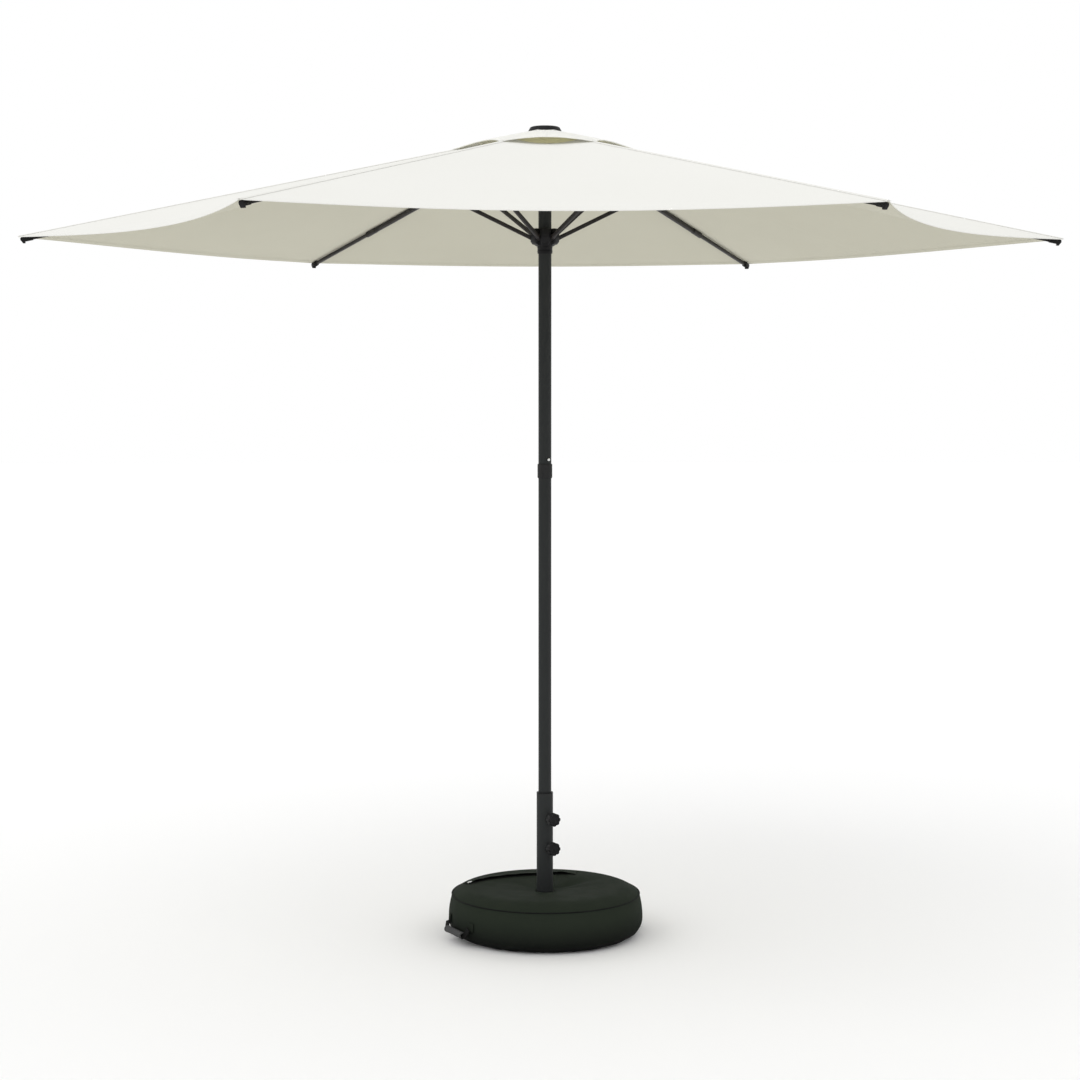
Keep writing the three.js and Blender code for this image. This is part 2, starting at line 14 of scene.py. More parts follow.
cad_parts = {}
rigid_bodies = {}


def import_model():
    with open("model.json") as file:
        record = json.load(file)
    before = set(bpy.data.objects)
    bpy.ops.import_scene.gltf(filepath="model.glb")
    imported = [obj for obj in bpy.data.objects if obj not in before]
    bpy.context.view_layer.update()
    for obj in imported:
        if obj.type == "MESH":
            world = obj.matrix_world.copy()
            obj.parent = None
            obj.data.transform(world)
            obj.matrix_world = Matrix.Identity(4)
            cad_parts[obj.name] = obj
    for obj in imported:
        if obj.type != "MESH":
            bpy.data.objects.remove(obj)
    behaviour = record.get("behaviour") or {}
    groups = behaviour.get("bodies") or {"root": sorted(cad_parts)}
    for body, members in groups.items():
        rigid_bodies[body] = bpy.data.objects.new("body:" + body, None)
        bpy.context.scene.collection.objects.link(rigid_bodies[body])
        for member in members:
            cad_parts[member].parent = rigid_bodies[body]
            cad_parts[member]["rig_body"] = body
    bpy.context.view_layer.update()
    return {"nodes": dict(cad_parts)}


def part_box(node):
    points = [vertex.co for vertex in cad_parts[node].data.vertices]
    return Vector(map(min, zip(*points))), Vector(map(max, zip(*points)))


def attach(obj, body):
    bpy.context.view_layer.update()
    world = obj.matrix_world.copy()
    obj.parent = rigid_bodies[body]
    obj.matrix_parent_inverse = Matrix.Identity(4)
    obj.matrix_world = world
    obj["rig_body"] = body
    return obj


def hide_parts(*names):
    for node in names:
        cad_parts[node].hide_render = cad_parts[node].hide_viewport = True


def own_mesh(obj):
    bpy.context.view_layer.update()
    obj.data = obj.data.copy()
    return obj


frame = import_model()

MM = 0.001
TURN = 2 * math.pi
SPOKES = 6
SPOKE = TURN / SPOKES
HALF_PANEL = SPOKE / 2
ROUND = 72  # columns round a turned piece

# ---------- sizes taken from the frame ----------
POLE_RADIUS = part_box("lower_pole")[1].x
TUBE_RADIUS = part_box("base_tube")[1].x
TUBE_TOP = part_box("base_tube")[1].z
CANOPY_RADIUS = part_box("canopy_gore_1")[1].x
VENT_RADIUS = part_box("vent_gore_1")[1].x
BAG_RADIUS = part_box("bag_shell")[1].x
BAG_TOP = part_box("bag_shell")[1].z

# ---------- sizes of the metal and plastic parts that their boxes don't give ----------
PIVOT_RADIUS = 0.035
PIVOT_HEIGHT = 2.0915
RIB_TIP = (1.350, 1.828)
RIB_PITCH = math.atan2(PIVOT_HEIGHT - RIB_TIP[1], RIB_TIP[0] - PIVOT_RADIUS)
BRACKET_STATION = 0.36348
BRACKET_DROP = 0.014
BRACKET_HALF_WIDTH = 6.9 * MM
TUBE_WALL = 1.5 * MM
FINIAL_SEAT, FINIAL_BORE = 2.110, 5 * MM
RUNNER_WIRE = {"radius": 0.030, "height": 1.8317, "thickness": 3 * MM}
RUNNER_BEAD_INNER, RUNNER_BEAD_OUTER = 0.0195, 0.0201
BUSH_BORE = 17.5 * MM
NUT_RADIUS, NUT_DEPTH, WELD_RADIUS = 9.8 * MM, 8 * MM, 1.3 * MM
KNOB = {"lobes": 8, "radius": 18 * MM, "depth": 2.6 * MM, "start": 39 * MM, "thickness": 17 * MM}
STUD = {"tip": 19.8 * MM, "neck": 32.7 * MM, "share": 4 / 18, "neck_share": 0.4}

# ---------- sizes of the cloth ----------
CLOTH = 0.8 * MM
HEM_WEIGHT, SEAM_WEIGHT, PLAIN_WEIGHT = 1.0, 0.75, 0.4  # shares of the hem's thickness
HEM = 20 * MM
SEAM = 7 * MM
CANOPY = {"inner": 0.078, "outer": CANOPY_RADIUS, "scallop": 0.092, "columns": 20, "rows": 56, "keep": 0.13}
OPENING = 0.160  # where the vent's lining begins, inwards to the crown
CANOPY_RIDGE, CANOPY_SLOPE, CANOPY_SAG = 1.8355, 0.2005, 0.033
VENT = {"inner": 0.040, "outer": VENT_RADIUS, "scallop": 0.025, "columns": 12, "rows": 16, "keep": 0.28}
VENT_RIDGE, VENT_SLOPE, VENT_SEAT, VENT_BOW = 2.108, 0.23, 0.043, 0.042
OPENING_SAG, OPENING_FADE = 0.008, 0.06
PATCH_RADIUS, PATCH_BORE = 0.050, 0.0132
TAPE_WIDTH, TAPE_START = 15 * MM, 0.225
TAPE_LIFT, TAPE_EASE = 1.1 * MM, 0.5 * MM

# ---------- sizes of the bag ----------
BAG_FOOT, BAG_BELLY_HEIGHT = 0.207, 0.044
SEAM_RADIUS, SEAM_HEIGHT = 0.248, 0.109
CREST_RADIUS, CREST_SHOULDER = 0.190, 2.6
CREST_DIP, CREST_POWER = 0.015, 1.8
FLOOR_GAP = 0.8 * MM
BAG_SHIFT = 2.5 * MM  # how far the sand has settled towards +X
ZIP_CENTRE, ZIP_RADIUS, ZIP_FROM, ZIP_TO = Vector((0.034, -0.148, 0)), 0.291, 79, 145
HANDLE_AZIMUTHS = {"front": 206, "rear": 26}
HANDLE = {"half": 0.053, "radial": 0.265, "height": 0.032, "sewn_radial": 0.254, "sewn_height": 0.050}
GRIP_RADIUS, GRIP_HALF = 0.0095, 0.046
SEWN_PATCH = {"width": 20 * MM, "tall": 24 * MM, "lift": 1.0 * MM, "thickness": 1.6 * MM}
PIPING_RADIUS = 1.7 * MM
BAG_CLOTH, BAG_COLUMNS = 1.2 * MM, 192
FLAP_EASE = 9  # degrees over which the flap rises from its ends

# ---------- camera ----------
CAMERA_PLACE, CAMERA_PITCH, CAMERA_HEADING = (-0.2214, -6.0064, 1.4346), 86.303, -1.989
LENS, SENSOR = 76.415, 36

# ---------- canopy cloths: darker tone, lighter tone, thread, share of light let through ----------
CLOTHS = {
    "canopy_top": ((0.775, 0.772, 0.735), (0.80, 0.798, 0.765), (0.70, 0.69, 0.64), 0),
    "vent_top": ((0.93, 0.93, 0.90), (0.95, 0.95, 0.92), (0.82, 0.81, 0.77), 0.22),
    # painted shade: the canopy's underside is the same cloth as its top, darker and yellower to stand for its
    # shade and the light through it
    "canopy_underside_painted_shade": ((0.545, 0.53, 0.435), (0.58, 0.565, 0.465), (0.48, 0.465, 0.38), 0),
    # painted shade: the yellow tone of the lining under the vent cap stands for the olive shade there
    "vent_lining_painted_shade": ((0.88, 0.86, 0.67), (0.92, 0.90, 0.71), (0.82, 0.80, 0.61), 0.38),
    # painted shade: the vent cap's underside is its top cloth, tinted beige to stand for its shade and the
    # light through it
    "vent_underside_painted_shade": ((0.93, 0.92, 0.84), (0.95, 0.94, 0.86), (0.86, 0.85, 0.76), 0.5),
}


# ---------- node materials ----------
class Shader:
    """One Principled material and the helpers that feed its sockets."""

    def __init__(self, name, color, roughness, metallic=0.0, **constants):
        self.material = bpy.data.materials.new(name)
        self.material.use_nodes = True
        self.tree = self.material.node_tree
        self.shader = self.tree.nodes["Principled BSDF"]
        self.shader.inputs["Base Color"].default_value = (*color, 1)
        self.shader.inputs["Roughness"].default_value = roughness
        self.shader.inputs["Metallic"].default_value = metallic
        for socket, value in constants.items():
            self.shader.inputs[socket.replace("_", " ")].default_value = value
        self.place = self.add("ShaderNodeTexCoord").outputs["Object"]

    def add(self, kind, **settings):
        made = self.tree.nodes.new(kind)
        for key, value in settings.items():
            setattr(made, key, value)
        return made

    def join(self, source, target):
        self.tree.links.new(source, target)

    def math(self, operation, first, second=None, third=None):
        made = self.add("ShaderNodeMath", operation=operation)
        for socket, value in zip(made.inputs, (first, second, third)):
            if value is None:
                continue
            if isinstance(value, (int, float)):
                socket.default_value = value
            else:
                self.join(value, socket)
        return made.outputs[0]

    def noise(self, scale, detail=2.0, stretch=None):
        made = self.add("ShaderNodeTexNoise")
        made.inputs["Scale"].default_value = scale
        made.inputs["Detail"].default_value = detail
        source = self.place
        if stretch:
            mapping = self.add("ShaderNodeMapping")
            mapping.inputs["Scale"].default_value = stretch
            self.join(source, mapping.inputs["Vector"])
            source = mapping.outputs["Vector"]
        self.join(source, made.inputs["Vector"])
        return made.outputs[0]

    def spread(self, source, low, high):
        made = self.add("ShaderNodeMapRange")
        made.inputs["To Min"].default_value = low
        made.inputs["To Max"].default_value = high
        self.join(source, made.inputs["Value"])
        return made.outputs["Result"]

    def tint(self, dark, light, source):
        made = self.add("ShaderNodeMix", data_type="RGBA")
        made.inputs[6].default_value = (*dark, 1)
        made.inputs[7].default_value = (*light, 1)
        self.join(source, made.inputs[0])
        return made.outputs[2]

    def cover(self, base, color, mask):
        """The base colour where the mask is 0, and the other colour where it is 1."""
        made = self.add("ShaderNodeMix", data_type="RGBA")
        self.join(base, made.inputs[6])
        made.inputs[7].default_value = (*color, 1)
        self.join(mask, made.inputs[0])
        return made.outputs[2]

    def bump(self, height, distance, strength=1.0):
        made = self.add("ShaderNodeBump")
        made.inputs["Distance"].default_value = distance
        made.inputs["Strength"].default_value = strength
        self.join(height, made.inputs["Height"])
        self.join(made.outputs["Normal"], self.shader.inputs["Normal"])

    def color(self, source):
        self.join(source, self.shader.inputs["Base Color"])

    def roughness(self, source):
        self.join(source, self.shader.inputs["Roughness"])

    def along(self, name):
        """The two coordinates, in metres, of one of the mesh's own flat layouts."""
        layout = self.add("ShaderNodeUVMap", uv_map=name)
        split = self.add("ShaderNodeSeparateXYZ")
        self.join(layout.outputs["UV"], split.inputs["Vector"])
        return split.outputs["X"], split.outputs["Y"]

    def weave(self, across, along, pitch):
        """Plain weave: threads over and under each other, from 0 to 1."""
        turns = TURN / pitch
        warp = self.math("SINE", self.math("MULTIPLY", across, turns))
        weft = self.math("SINE", self.math("MULTIPLY", along, turns))
        return self.math("MULTIPLY_ADD", self.math("MULTIPLY", warp, weft), 0.5, 0.5)

    def let_light_through(self, share, color):
        """Passes this share of the light on to the far side, in one colour, as thin open cloth does."""
        through = self.add("ShaderNodeBsdfTranslucent")
        through.inputs["Color"].default_value = (*color, 1)
        mixed = self.add("ShaderNodeMixShader")
        mixed.inputs[0].default_value = share
        self.join(self.shader.outputs[0], mixed.inputs[1])
        self.join(through.outputs[0], mixed.inputs[2])
        self.join(mixed.outputs[0], self.tree.nodes["Material Output"].inputs["Surface"])

    def stitches(self, distance, run, at, length=3.2 * MM, width=0.5 * MM):
        """A row of stitches at one distance from an edge: 1 on a thread, 0 elsewhere."""
        near = self.math("LESS_THAN", self.math("ABSOLUTE", self.math("SUBTRACT", distance, at)), width)
        beat = self.math("FRACT", self.math("ABSOLUTE", self.math("DIVIDE", run, length)))
        return self.math("MULTIPLY", near, self.math("LESS_THAN", beat, 0.72))


def painted_steel():
    made = Shader("painted_steel", (0.022, 0.024, 0.024), 0.5, 0.0, Specular_IOR_Level=0.14)
    made.color(made.tint((0.019, 0.021, 0.021), (0.025, 0.027, 0.027), made.noise(9.0, 4.0)))
    made.roughness(made.spread(made.noise(40.0, 3.0), 0.44, 0.56))
    made.bump(made.noise(1400.0, 3.0), 0.05 * MM, 0.35)
    return made.material


def rib_steel():
    made = Shader("rib_steel", (0.022, 0.020, 0.019), 0.5, 0.0, Specular_IOR_Level=0.2)
    made.color(made.tint((0.017, 0.015, 0.014), (0.026, 0.023, 0.022), made.noise(12.0, 4.0)))
    made.roughness(made.spread(made.noise(45.0, 3.0), 0.42, 0.55))
    made.bump(made.noise(1500.0, 3.0), 0.05 * MM, 0.3)
    return made.material


def black_plastic():
    made = Shader("black_plastic", (0.008, 0.008, 0.008), 0.5, 0.0, Specular_IOR_Level=0.16)
    made.color(made.tint((0.006, 0.006, 0.006), (0.011, 0.011, 0.012), made.noise(16.0, 3.0)))
    made.roughness(made.spread(made.noise(70.0, 3.0), 0.42, 0.6))
    made.bump(made.noise(2200.0, 2.0), 0.06 * MM, 0.4)
    return made.material


def ribbed_plastic():
    made = Shader("ribbed_plastic", (0.014, 0.014, 0.014), 0.5, 0.0, Specular_IOR_Level=0.2)
    made.color(made.tint((0.010, 0.010, 0.010), (0.019, 0.019, 0.020), made.noise(90.0, 3.0)))
    made.roughness(made.spread(made.noise(120.0, 3.0), 0.4, 0.62))
    made.bump(made.noise(900.0, 2.0, (1, 1, 0.2)), 0.2 * MM, 0.5)
    return made.material


def bright_steel():
    made = Shader("bright_steel", (0.72, 0.73, 0.72), 0.28, 1.0)
    made.color(made.tint((0.62, 0.63, 0.62), (0.78, 0.79, 0.78), made.noise(60.0, 3.0)))
    made.roughness(made.spread(made.noise(300.0, 2.0, (1, 1, 8)), 0.2, 0.38))
    made.bump(made.noise(1600.0, 2.0), 0.02 * MM, 0.3)
    return made.material


def canopy_cloth(name, dark, light, thread, through):
    """Woven polyester: its layouts give the weave's two directions and the distances to seam and hem."""
    made = Shader(name, light, 0.85, 0.0, Specular_IOR_Level=0.2)
    across, along = made.along("weave")
    to_rib, to_hem = made.along("edges")
    rows = made.stitches(to_rib, along, SEAM - 1.5 * MM)
    for at in (3 * MM, HEM - 3 * MM):
        rows = made.math("MAXIMUM", rows, made.stitches(to_hem, across, at))
    cloth = made.tint(dark, light, made.noise(2.6, 5.0))
    made.color(made.cover(cloth, thread, rows))
    made.roughness(made.spread(made.noise(14.0, 3.0), 0.78, 0.92))
    made.bump(made.math("ADD", made.weave(across, along, 1.1 * MM), rows), 0.08 * MM, 0.5)
    if through:
        made.let_light_through(through, light)
    return made.material


def bag_cloth():
    """Coated polyester, greener on top, with painted shade that turns it near-black towards the ground."""
    made = Shader("bag_cloth", (0.019, 0.024, 0.018), 0.62, 0.0, Specular_IOR_Level=0.02)
    across, along = made.along("weave")
    split = made.add("ShaderNodeSeparateXYZ")
    made.join(made.place, split.inputs["Vector"])
    upper = made.add("ShaderNodeMapRange", interpolation_type="SMOOTHSTEP")
    upper.inputs["From Max"].default_value = 0.095
    made.join(split.outputs["Z"], upper.inputs["Value"])
    cloth = made.tint((0.018, 0.023, 0.017), (0.022, 0.028, 0.020), made.noise(7.0, 5.0))
    # painted shade: near-black mixed into the cloth below 95 mm, fully at the ground
    low = made.math("SUBTRACT", 1.0, upper.outputs["Result"])
    made.color(made.cover(cloth, (0.007, 0.0075, 0.007), low))
    made.roughness(made.spread(made.noise(25.0, 4.0), 0.6, 0.78))
    fine = made.weave(across, along, 1.4 * MM)
    made.bump(made.math("MULTIPLY_ADD", made.noise(120.0, 3.0), 0.6, fine), 0.15 * MM, 0.6)
    return made.material


def webbing(name, dark, light):
    made = Shader(name, light, 0.7, 0.0, Specular_IOR_Level=0.06)
    across, along = made.along("weave")
    made.color(made.tint(dark, light, made.noise(30.0, 4.0)))
    made.roughness(made.spread(made.noise(60.0, 3.0), 0.6, 0.8))
    made.bump(made.weave(across, along, 2.0 * MM), 0.3 * MM, 0.8)
    return made.material


def grip_rubber():
    made = Shader("grip_rubber", (0.045, 0.046, 0.047), 0.6, 0.0, Specular_IOR_Level=0.2)
    made.color(made.tint((0.036, 0.037, 0.038), (0.056, 0.057, 0.058), made.noise(20.0, 3.0)))
    made.roughness(made.spread(made.noise(80.0, 3.0), 0.5, 0.7))
    made.bump(made.noise(900.0, 2.0), 0.1 * MM, 0.5)
    return made.material


def sand_grain():
    made = Shader("sand", (0.48, 0.36, 0.20), 0.95)
    made.color(made.tint((0.36, 0.26, 0.14), (0.58, 0.46, 0.28), made.noise(600.0, 4.0)))
    made.bump(made.noise(500.0, 4.0), 0.8 * MM, 1.0)
    return made.material


MATERIALS = {
    "painted_steel": painted_steel(),
    "rib_steel": rib_steel(),
    "black_plastic": black_plastic(),
    "ribbed_plastic": ribbed_plastic(),
    "bright_steel": bright_steel(),
    **{name: canopy_cloth(name, *tones) for name, tones in CLOTHS.items()},
    "bag_cloth": bag_cloth(),
    "binding": webbing("binding", (0.006, 0.007, 0.006), (0.010, 0.011, 0.010)),
    "webbing": webbing("webbing", (0.004, 0.004, 0.004), (0.008, 0.008, 0.008)),
    "grip_rubber": grip_rubber(),
    "sand": sand_grain(),
}


# ---------- mesh helpers ----------
def dress(node, look):
    """Gives a CAD node that keeps its shape its finish."""
    materials = frame["nodes"][node].data.materials
    materials.clear()
    materials.append(MATERIALS[look])


def thicken(made, thickness, offset, **settings):
    """Gives a sheet its thickness."""
    shell = made.modifiers.new("cloth", "SOLIDIFY")
    shell.thickness = thickness
    shell.offset = offset
    for key, value in settings.items():
        setattr(shell, key, value)


def piece(name, mesh, look, body, replaces=(), smooth=30, extra=()):
    """One visible piece: its mesh, its finish, the body it moves with and the CAD nodes it stands for."""
    made = bpy.data.objects.new(name, mesh)
    bpy.context.scene.collection.objects.link(made)
    for finish in (look, *extra):
        mesh.materials.append(MATERIALS[finish])
    mesh.shade_smooth()
    if smooth:
        mesh.set_sharp_from_angle(angle=math.radians(smooth))
    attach(made, body)
    if replaces:
        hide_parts(*replaces)
    return made


def grid_mesh(name, points, close_columns=False, close_rows=False, layouts=None):
    """A mesh from points[row][column].

    A layout gives each point's flat place, with one more column or row where the grid closes.
    """
    points = np.asarray(points, float)
    rows, columns = points.shape[:2]
    faces, corners = [], []
    for row in range(rows if close_rows else rows - 1):
        below = (row + 1) % rows
        for column in range(columns if close_columns else columns - 1):
            beside = (column + 1) % columns
            faces.append((
                row * columns + column,
                row * columns + beside,
                below * columns + beside,
                below * columns + column,
            ))
            corners.append(((row, column), (row, column + 1), (row + 1, column + 1), (row + 1, column)))
    mesh = bpy.data.meshes.new(name)
    mesh.from_pydata(points.reshape(-1, 3).tolist(), [], faces)
    for layout, flat in (layouts or {}).items():
        layer = mesh.uv_layers.new(name=layout)
        values = [flat[r][c] for face in corners for r, c in face]
        layer.data.foreach_set("uv", np.asarray(values, float).ravel())
    return mesh


def flat_layout(points, close_columns=False, close_rows=False):
    """Distances along the rows and columns of a grid, in metres, to lay a weave on."""
    points = np.asarray(points, float)
    if close_columns:
        points = np.concatenate([points, points[:, :1]], axis=1)
    if close_rows:
        points = np.concatenate([points, points[:1]], axis=0)
    across = np.zeros(points.shape[:2])
    down = np.zeros(points.shape[:2])
    across[:, 1:] = np.cumsum(np.linalg.norm(np.diff(points, axis=1), axis=2), axis=1)
    down[1:] = np.cumsum(np.linalg.norm(np.diff(points, axis=0), axis=2), axis=0)
    widest = across[np.argmax(across[:, -1])]
    across = np.broadcast_to(widest, across.shape)
    down = np.broadcast_to(down.mean(axis=1, keepdims=True), down.shape)
    return np.stack([across, down], axis=2)


def rounded(profile, radius, steps=3):
    """The profile with each inner corner replaced by a short arc that starts a radius away from it."""
    points = [Vector(p) for p in profile]
    out = [points[0]]
    for before, corner, after in zip(points, points[1:], points[2:]):
        reach = min(radius, (corner - before).length / 2.2, (after - corner).length / 2.2)
        start = corner + (before - corner).normalized() * reach
        end = corner + (after - corner).normalized() * reach
        for step in range(steps + 1):
            share = step / steps
            out.append(start.lerp(corner, share).lerp(corner.lerp(end, share), share))
    out.append(points[-1])
    return out


def turned(name, profile, segments=ROUND):
    """A surface of revolution about Z from (radius, height) points; points on the axis close it."""
    angles = [TURN * i / segments for i in range(segments)]
    rings = [[(max(r, 0.0) * math.cos(a), max(r, 0.0) * math.sin(a), z) for a in angles] for r, z in profile]
    return woven(name, rings, True)


def clean(mesh):
    """Merges the points that lie on each other and turns the faces outwards."""
    work = bmesh.new()
    work.from_mesh(mesh)
    bmesh.ops.remove_doubles(work, verts=work.verts, dist=0.001 * MM)
    bmesh.ops.recalc_face_normals(work, faces=work.faces)
    work.to_mesh(mesh)
    work.free()
    return mesh


def woven(name, points, close_columns=False):
    """A clean grid mesh with the flat layout that its weave is laid on."""
    layout = flat_layout(points, close_columns)
    return clean(grid_mesh(name, points, close_columns, layouts={"weave": layout}))


def sweep(name, path, section, up=(0, 0, 1), closed=False, widths=None):
    """A section of (side, up) points carried along a path of points, at its own width on each where given."""
    path = [Vector(p) for p in path]
    rings = []
    for index, point in enumerate(path):
        before = path[index - 1] if index or closed else point
        after = path[(index + 1) % len(path)] if index + 1 < len(path) or closed else point
        forward = (after - before).normalized()
        side = forward.cross(Vector(up)).normalized()
        above = side.cross(forward)
        width = widths[index] if widths else 1
        rings.append([tuple(point + side * x * width + above * y) for x, y in section])
    mesh = grid_mesh(name, rings, True, closed, {"weave": flat_layout(rings, True, closed)})
    if not closed:
        close_ends(mesh, len(section))
    return clean(mesh)


def close_ends(mesh, around):
    work = bmesh.new()
    work.from_mesh(mesh)
    work.verts.ensure_lookup_table()
    work.faces.new([work.verts[i] for i in range(around)])
    work.faces.new([work.verts[i] for i in range(len(work.verts) - 1, len(work.verts) - around - 1, -1)])
    work.to_mesh(mesh)
    work.free()


def circle(radius, count=12):
    return [(radius * math.cos(TURN * i / count), radius * math.sin(TURN * i / count)) for i in range(count)]


def flat_band(width, thickness):
    """A strap's section with eased edges."""
    x, y = width / 2, thickness / 2
    ease = thickness * 0.4
    return [(-x, -y + ease), (-x + ease, -y), (x - ease, -y), (x, -y + ease),
            (x, y - ease), (x - ease, y), (-x + ease, y), (-x, y - ease)]


def polar(radius, degrees, height):
    angle = math.radians(degrees)
    return Vector((radius * math.cos(angle), radius * math.sin(angle), height))


def spoke_matrix(index):
    """From spoke 1's own axes, with X along the rib's heading, to those of the spoke with this index."""
    return Matrix.Rotation(index * SPOKE, 4, "Z")


def rib_matrix(index):
    """From axes with X along the rib and the origin at its pivot, at rest."""
    pitch = Matrix.Rotation(RIB_PITCH, 4, "Y")
    return spoke_matrix(index) @ Matrix.Translation((PIVOT_RADIUS, 0, PIVOT_HEIGHT)) @ pitch


def refined(node, look, bevel):
    """A CAD node again with its flat faces whole, its edges eased and its round faces smooth."""
    source = frame["nodes"][node]
    work = bmesh.new()
    work.from_mesh(source.data)
    bmesh.ops.remove_doubles(work, verts=work.verts, dist=0.002 * MM)
    bmesh.ops.dissolve_limit(work, angle_limit=math.radians(1.5), verts=work.verts, edges=work.edges)
    sharp = [e for e in work.edges if len(e.link_faces) == 2 and e.calc_face_angle() > math.radians(32)]
    bmesh.ops.bevel(work, geom=sharp, offset=bevel, segments=2, affect="EDGES", clamp_overlap=True)
    bmesh.ops.triangulate(work, faces=[f for f in work.faces if len(f.verts) > 4])
    mesh = bpy.data.meshes.new(node + "_finish")
    work.to_mesh(mesh)
    work.free()
    piece(node + "_finish", mesh, look, source["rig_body"], [node], smooth=34)


# ---------- canopy ----------
def panel_point(shape, share, along):
    """A point of a panel, out from the mast and sideways from its middle line; share is 1 on a rib.

    The last value says how near the point is to the rib, from 0 on the middle line to 1.
    """
    tan = math.tan(HALF_PANEL)
    out_hem = shape["outer"] * math.cos(HALF_PANEL) - shape["scallop"] * (1 - share * share)
    side_hem = share * shape["outer"] * math.sin(HALF_PANEL)
    out_inner = shape["inner"] * math.cos(HALF_PANEL)
    out = out_inner + along * (out_hem - out_inner)
    side = share * out_inner * tan + along * (side_hem - share * out_inner * tan)
    return out, side, min(side / (out * tan), 1.0)


def canopy_height(out, side, towards_rib):
    ridge = CANOPY_RIDGE + CANOPY_SLOPE * (CANOPY_RADIUS - out / math.cos(HALF_PANEL))
    pull = 1 - towards_rib**2
    ripple = noise.noise(Vector((side * 3.0, out * 1.1, 0.7))) * 1.6 * MM
    beyond = out - OPENING * math.cos(HALF_PANEL)
    opening = OPENING_SAG * math.exp(-(beyond if beyond > 0 else -2 * beyond) / OPENING_FADE)
    return ridge - (CANOPY_SAG * out + opening - ripple) * pull


def vent_height(out, side, towards_rib):
    ridge = VENT_RIDGE - VENT_SLOPE * (out / math.cos(HALF_PANEL) - VENT_SEAT)
    lift = 1 - towards_rib**2
    ripple = noise.noise(Vector((side * 14.0, out * 5.0, 3.1))) * 1.5 * MM
    return ridge + VENT_BOW * out * lift + ripple * lift


def gore(name, index, shape, height_at, finishes):
    """The cloth that one rib carries, half a panel on each side of it, with its felled seam and its hem."""
    length = (shape["outer"] - shape["inner"]) * math.cos(HALF_PANEL)
    hem_start = 1 - HEM / length
    inner_rows = np.linspace(0, hem_start - 1.5 * MM / length, shape["rows"])
    alongs = [*inner_rows, hem_start, 1 - 1 * MM / length, 1]
    spread = np.linspace(0, 1, shape["columns"])[1:]
    points, weave, edges, heavy = [], [], [], []
    for along in alongs:
        row, row_weave, row_edges, row_heavy = [], [], [], []
        half_width = panel_point(shape, 1.0, along)[1]
        seam = min(SEAM / math.cos(HALF_PANEL) / half_width, 0.3)
        eased = min(1.4 * seam, 0.42)
        from_rib = [0, seam, eased, *(eased + (1 - eased) * spread)]
        signed = [(-1, d) for d in reversed(from_rib[1:])] + [(1, d) for d in from_rib]
        for hand, distance in signed:
            out, side, towards = panel_point(shape, 1 - distance, along)
            on_seam = distance <= seam + 1e-9
            on_hem = along >= hem_start - 1e-9
            height = height_at(out, side, towards) + (0.5 * MM if on_seam else 0)
            place = Matrix.Rotation(hand * HALF_PANEL, 4, "Z") @ Vector((out, -hand * side, height))
            row.append(tuple(spoke_matrix(index) @ place))
            row_weave.append((side, out))
            to_rib = (out * math.tan(HALF_PANEL) - side) * math.cos(HALF_PANEL)
            row_edges.append((to_rib, (1 - along) * length))
            row_heavy.append(HEM_WEIGHT if on_hem else (SEAM_WEIGHT if on_seam else PLAIN_WEIGHT))
        points.append(row)
        weave.append(row_weave)
        edges.append(row_edges)
        heavy.append(row_heavy)
    mesh = grid_mesh(name, points, layouts={"weave": weave, "edges": edges})
    columns = len(points[0])
    mesh.flip_normals()
    made = piece(name, mesh, finishes[0], f"rib_{index + 1}", smooth=0, extra=finishes[1:])
    # the part under the vent cap takes the lining cloth, whose yellow tone is painted shade
    lining = OPENING * math.cos(HALF_PANEL) if shape is CANOPY else 0
    for face in mesh.polygons:
        middle = Vector(face.center)
        nearest = min(abs((math.atan2(middle.y, middle.x) % SPOKE) - HALF_PANEL), HALF_PANEL)
        face.material_index = 2 if math.hypot(middle.x, middle.y) * math.cos(nearest) < lining else 0
    for edge in mesh.edges:
        edge.use_edge_sharp = all(v % columns == columns // 2 for v in edge.vertices)
    group = made.vertex_groups.new(name="thickness")
    for vertex, weight in enumerate(w for row in heavy for w in row):
        group.add([vertex], weight, "REPLACE")
    thicken(made, CLOTH / PLAIN_WEIGHT, -1, vertex_group="thickness", material_offset=1)
    even = made.modifiers.new("even_shading", "WEIGHTED_NORMAL")
    even.keep_sharp = True
    even.weight = 100
    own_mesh(made)
    return made


def seam_tape(number):
    """The tape sewn over a rib's seam; it stays flat on the rib when the canopy folds."""
    cos, sin = math.cos(HALF_PANEL), math.sin(HALF_PANEL)
    rows = []
    for along in np.linspace(TAPE_START, CANOPY_RADIUS - 3 * MM, 70):
        row = []
        for side in np.linspace(-TAPE_WIDTH / 2, TAPE_WIDTH / 2, 7):
            out = along * cos + abs(side) * sin
            beside = along * sin - abs(side) * cos
            towards_rib = beside / (out * math.tan(HALF_PANEL))
            lift = TAPE_LIFT - TAPE_EASE * (2 * side / TAPE_WIDTH) ** 2
            row.append((along, side, canopy_height(out, beside, towards_rib) + lift))
        rows.append(row)
    layout = flat_layout(rows)
    hem = [[(TAPE_WIDTH / 2 - abs(x - TAPE_WIDTH / 2), 1.0) for x, _ in row] for row in layout]
    name = f"canopy_seam_tape_{number}"
    mesh = clean(grid_mesh(name, rows, layouts={"weave": layout, "edges": hem}))
    mesh.transform(spoke_matrix(number - 1))
    # the tape's underside takes the canopy's underside cloth, whose darker, yellower tone is painted shade
    made = piece(name, mesh, "canopy_top", f"rib_{number}", smooth=0, extra=["canopy_underside_painted_shade"])
    thicken(made, 0.5 * MM, 1)


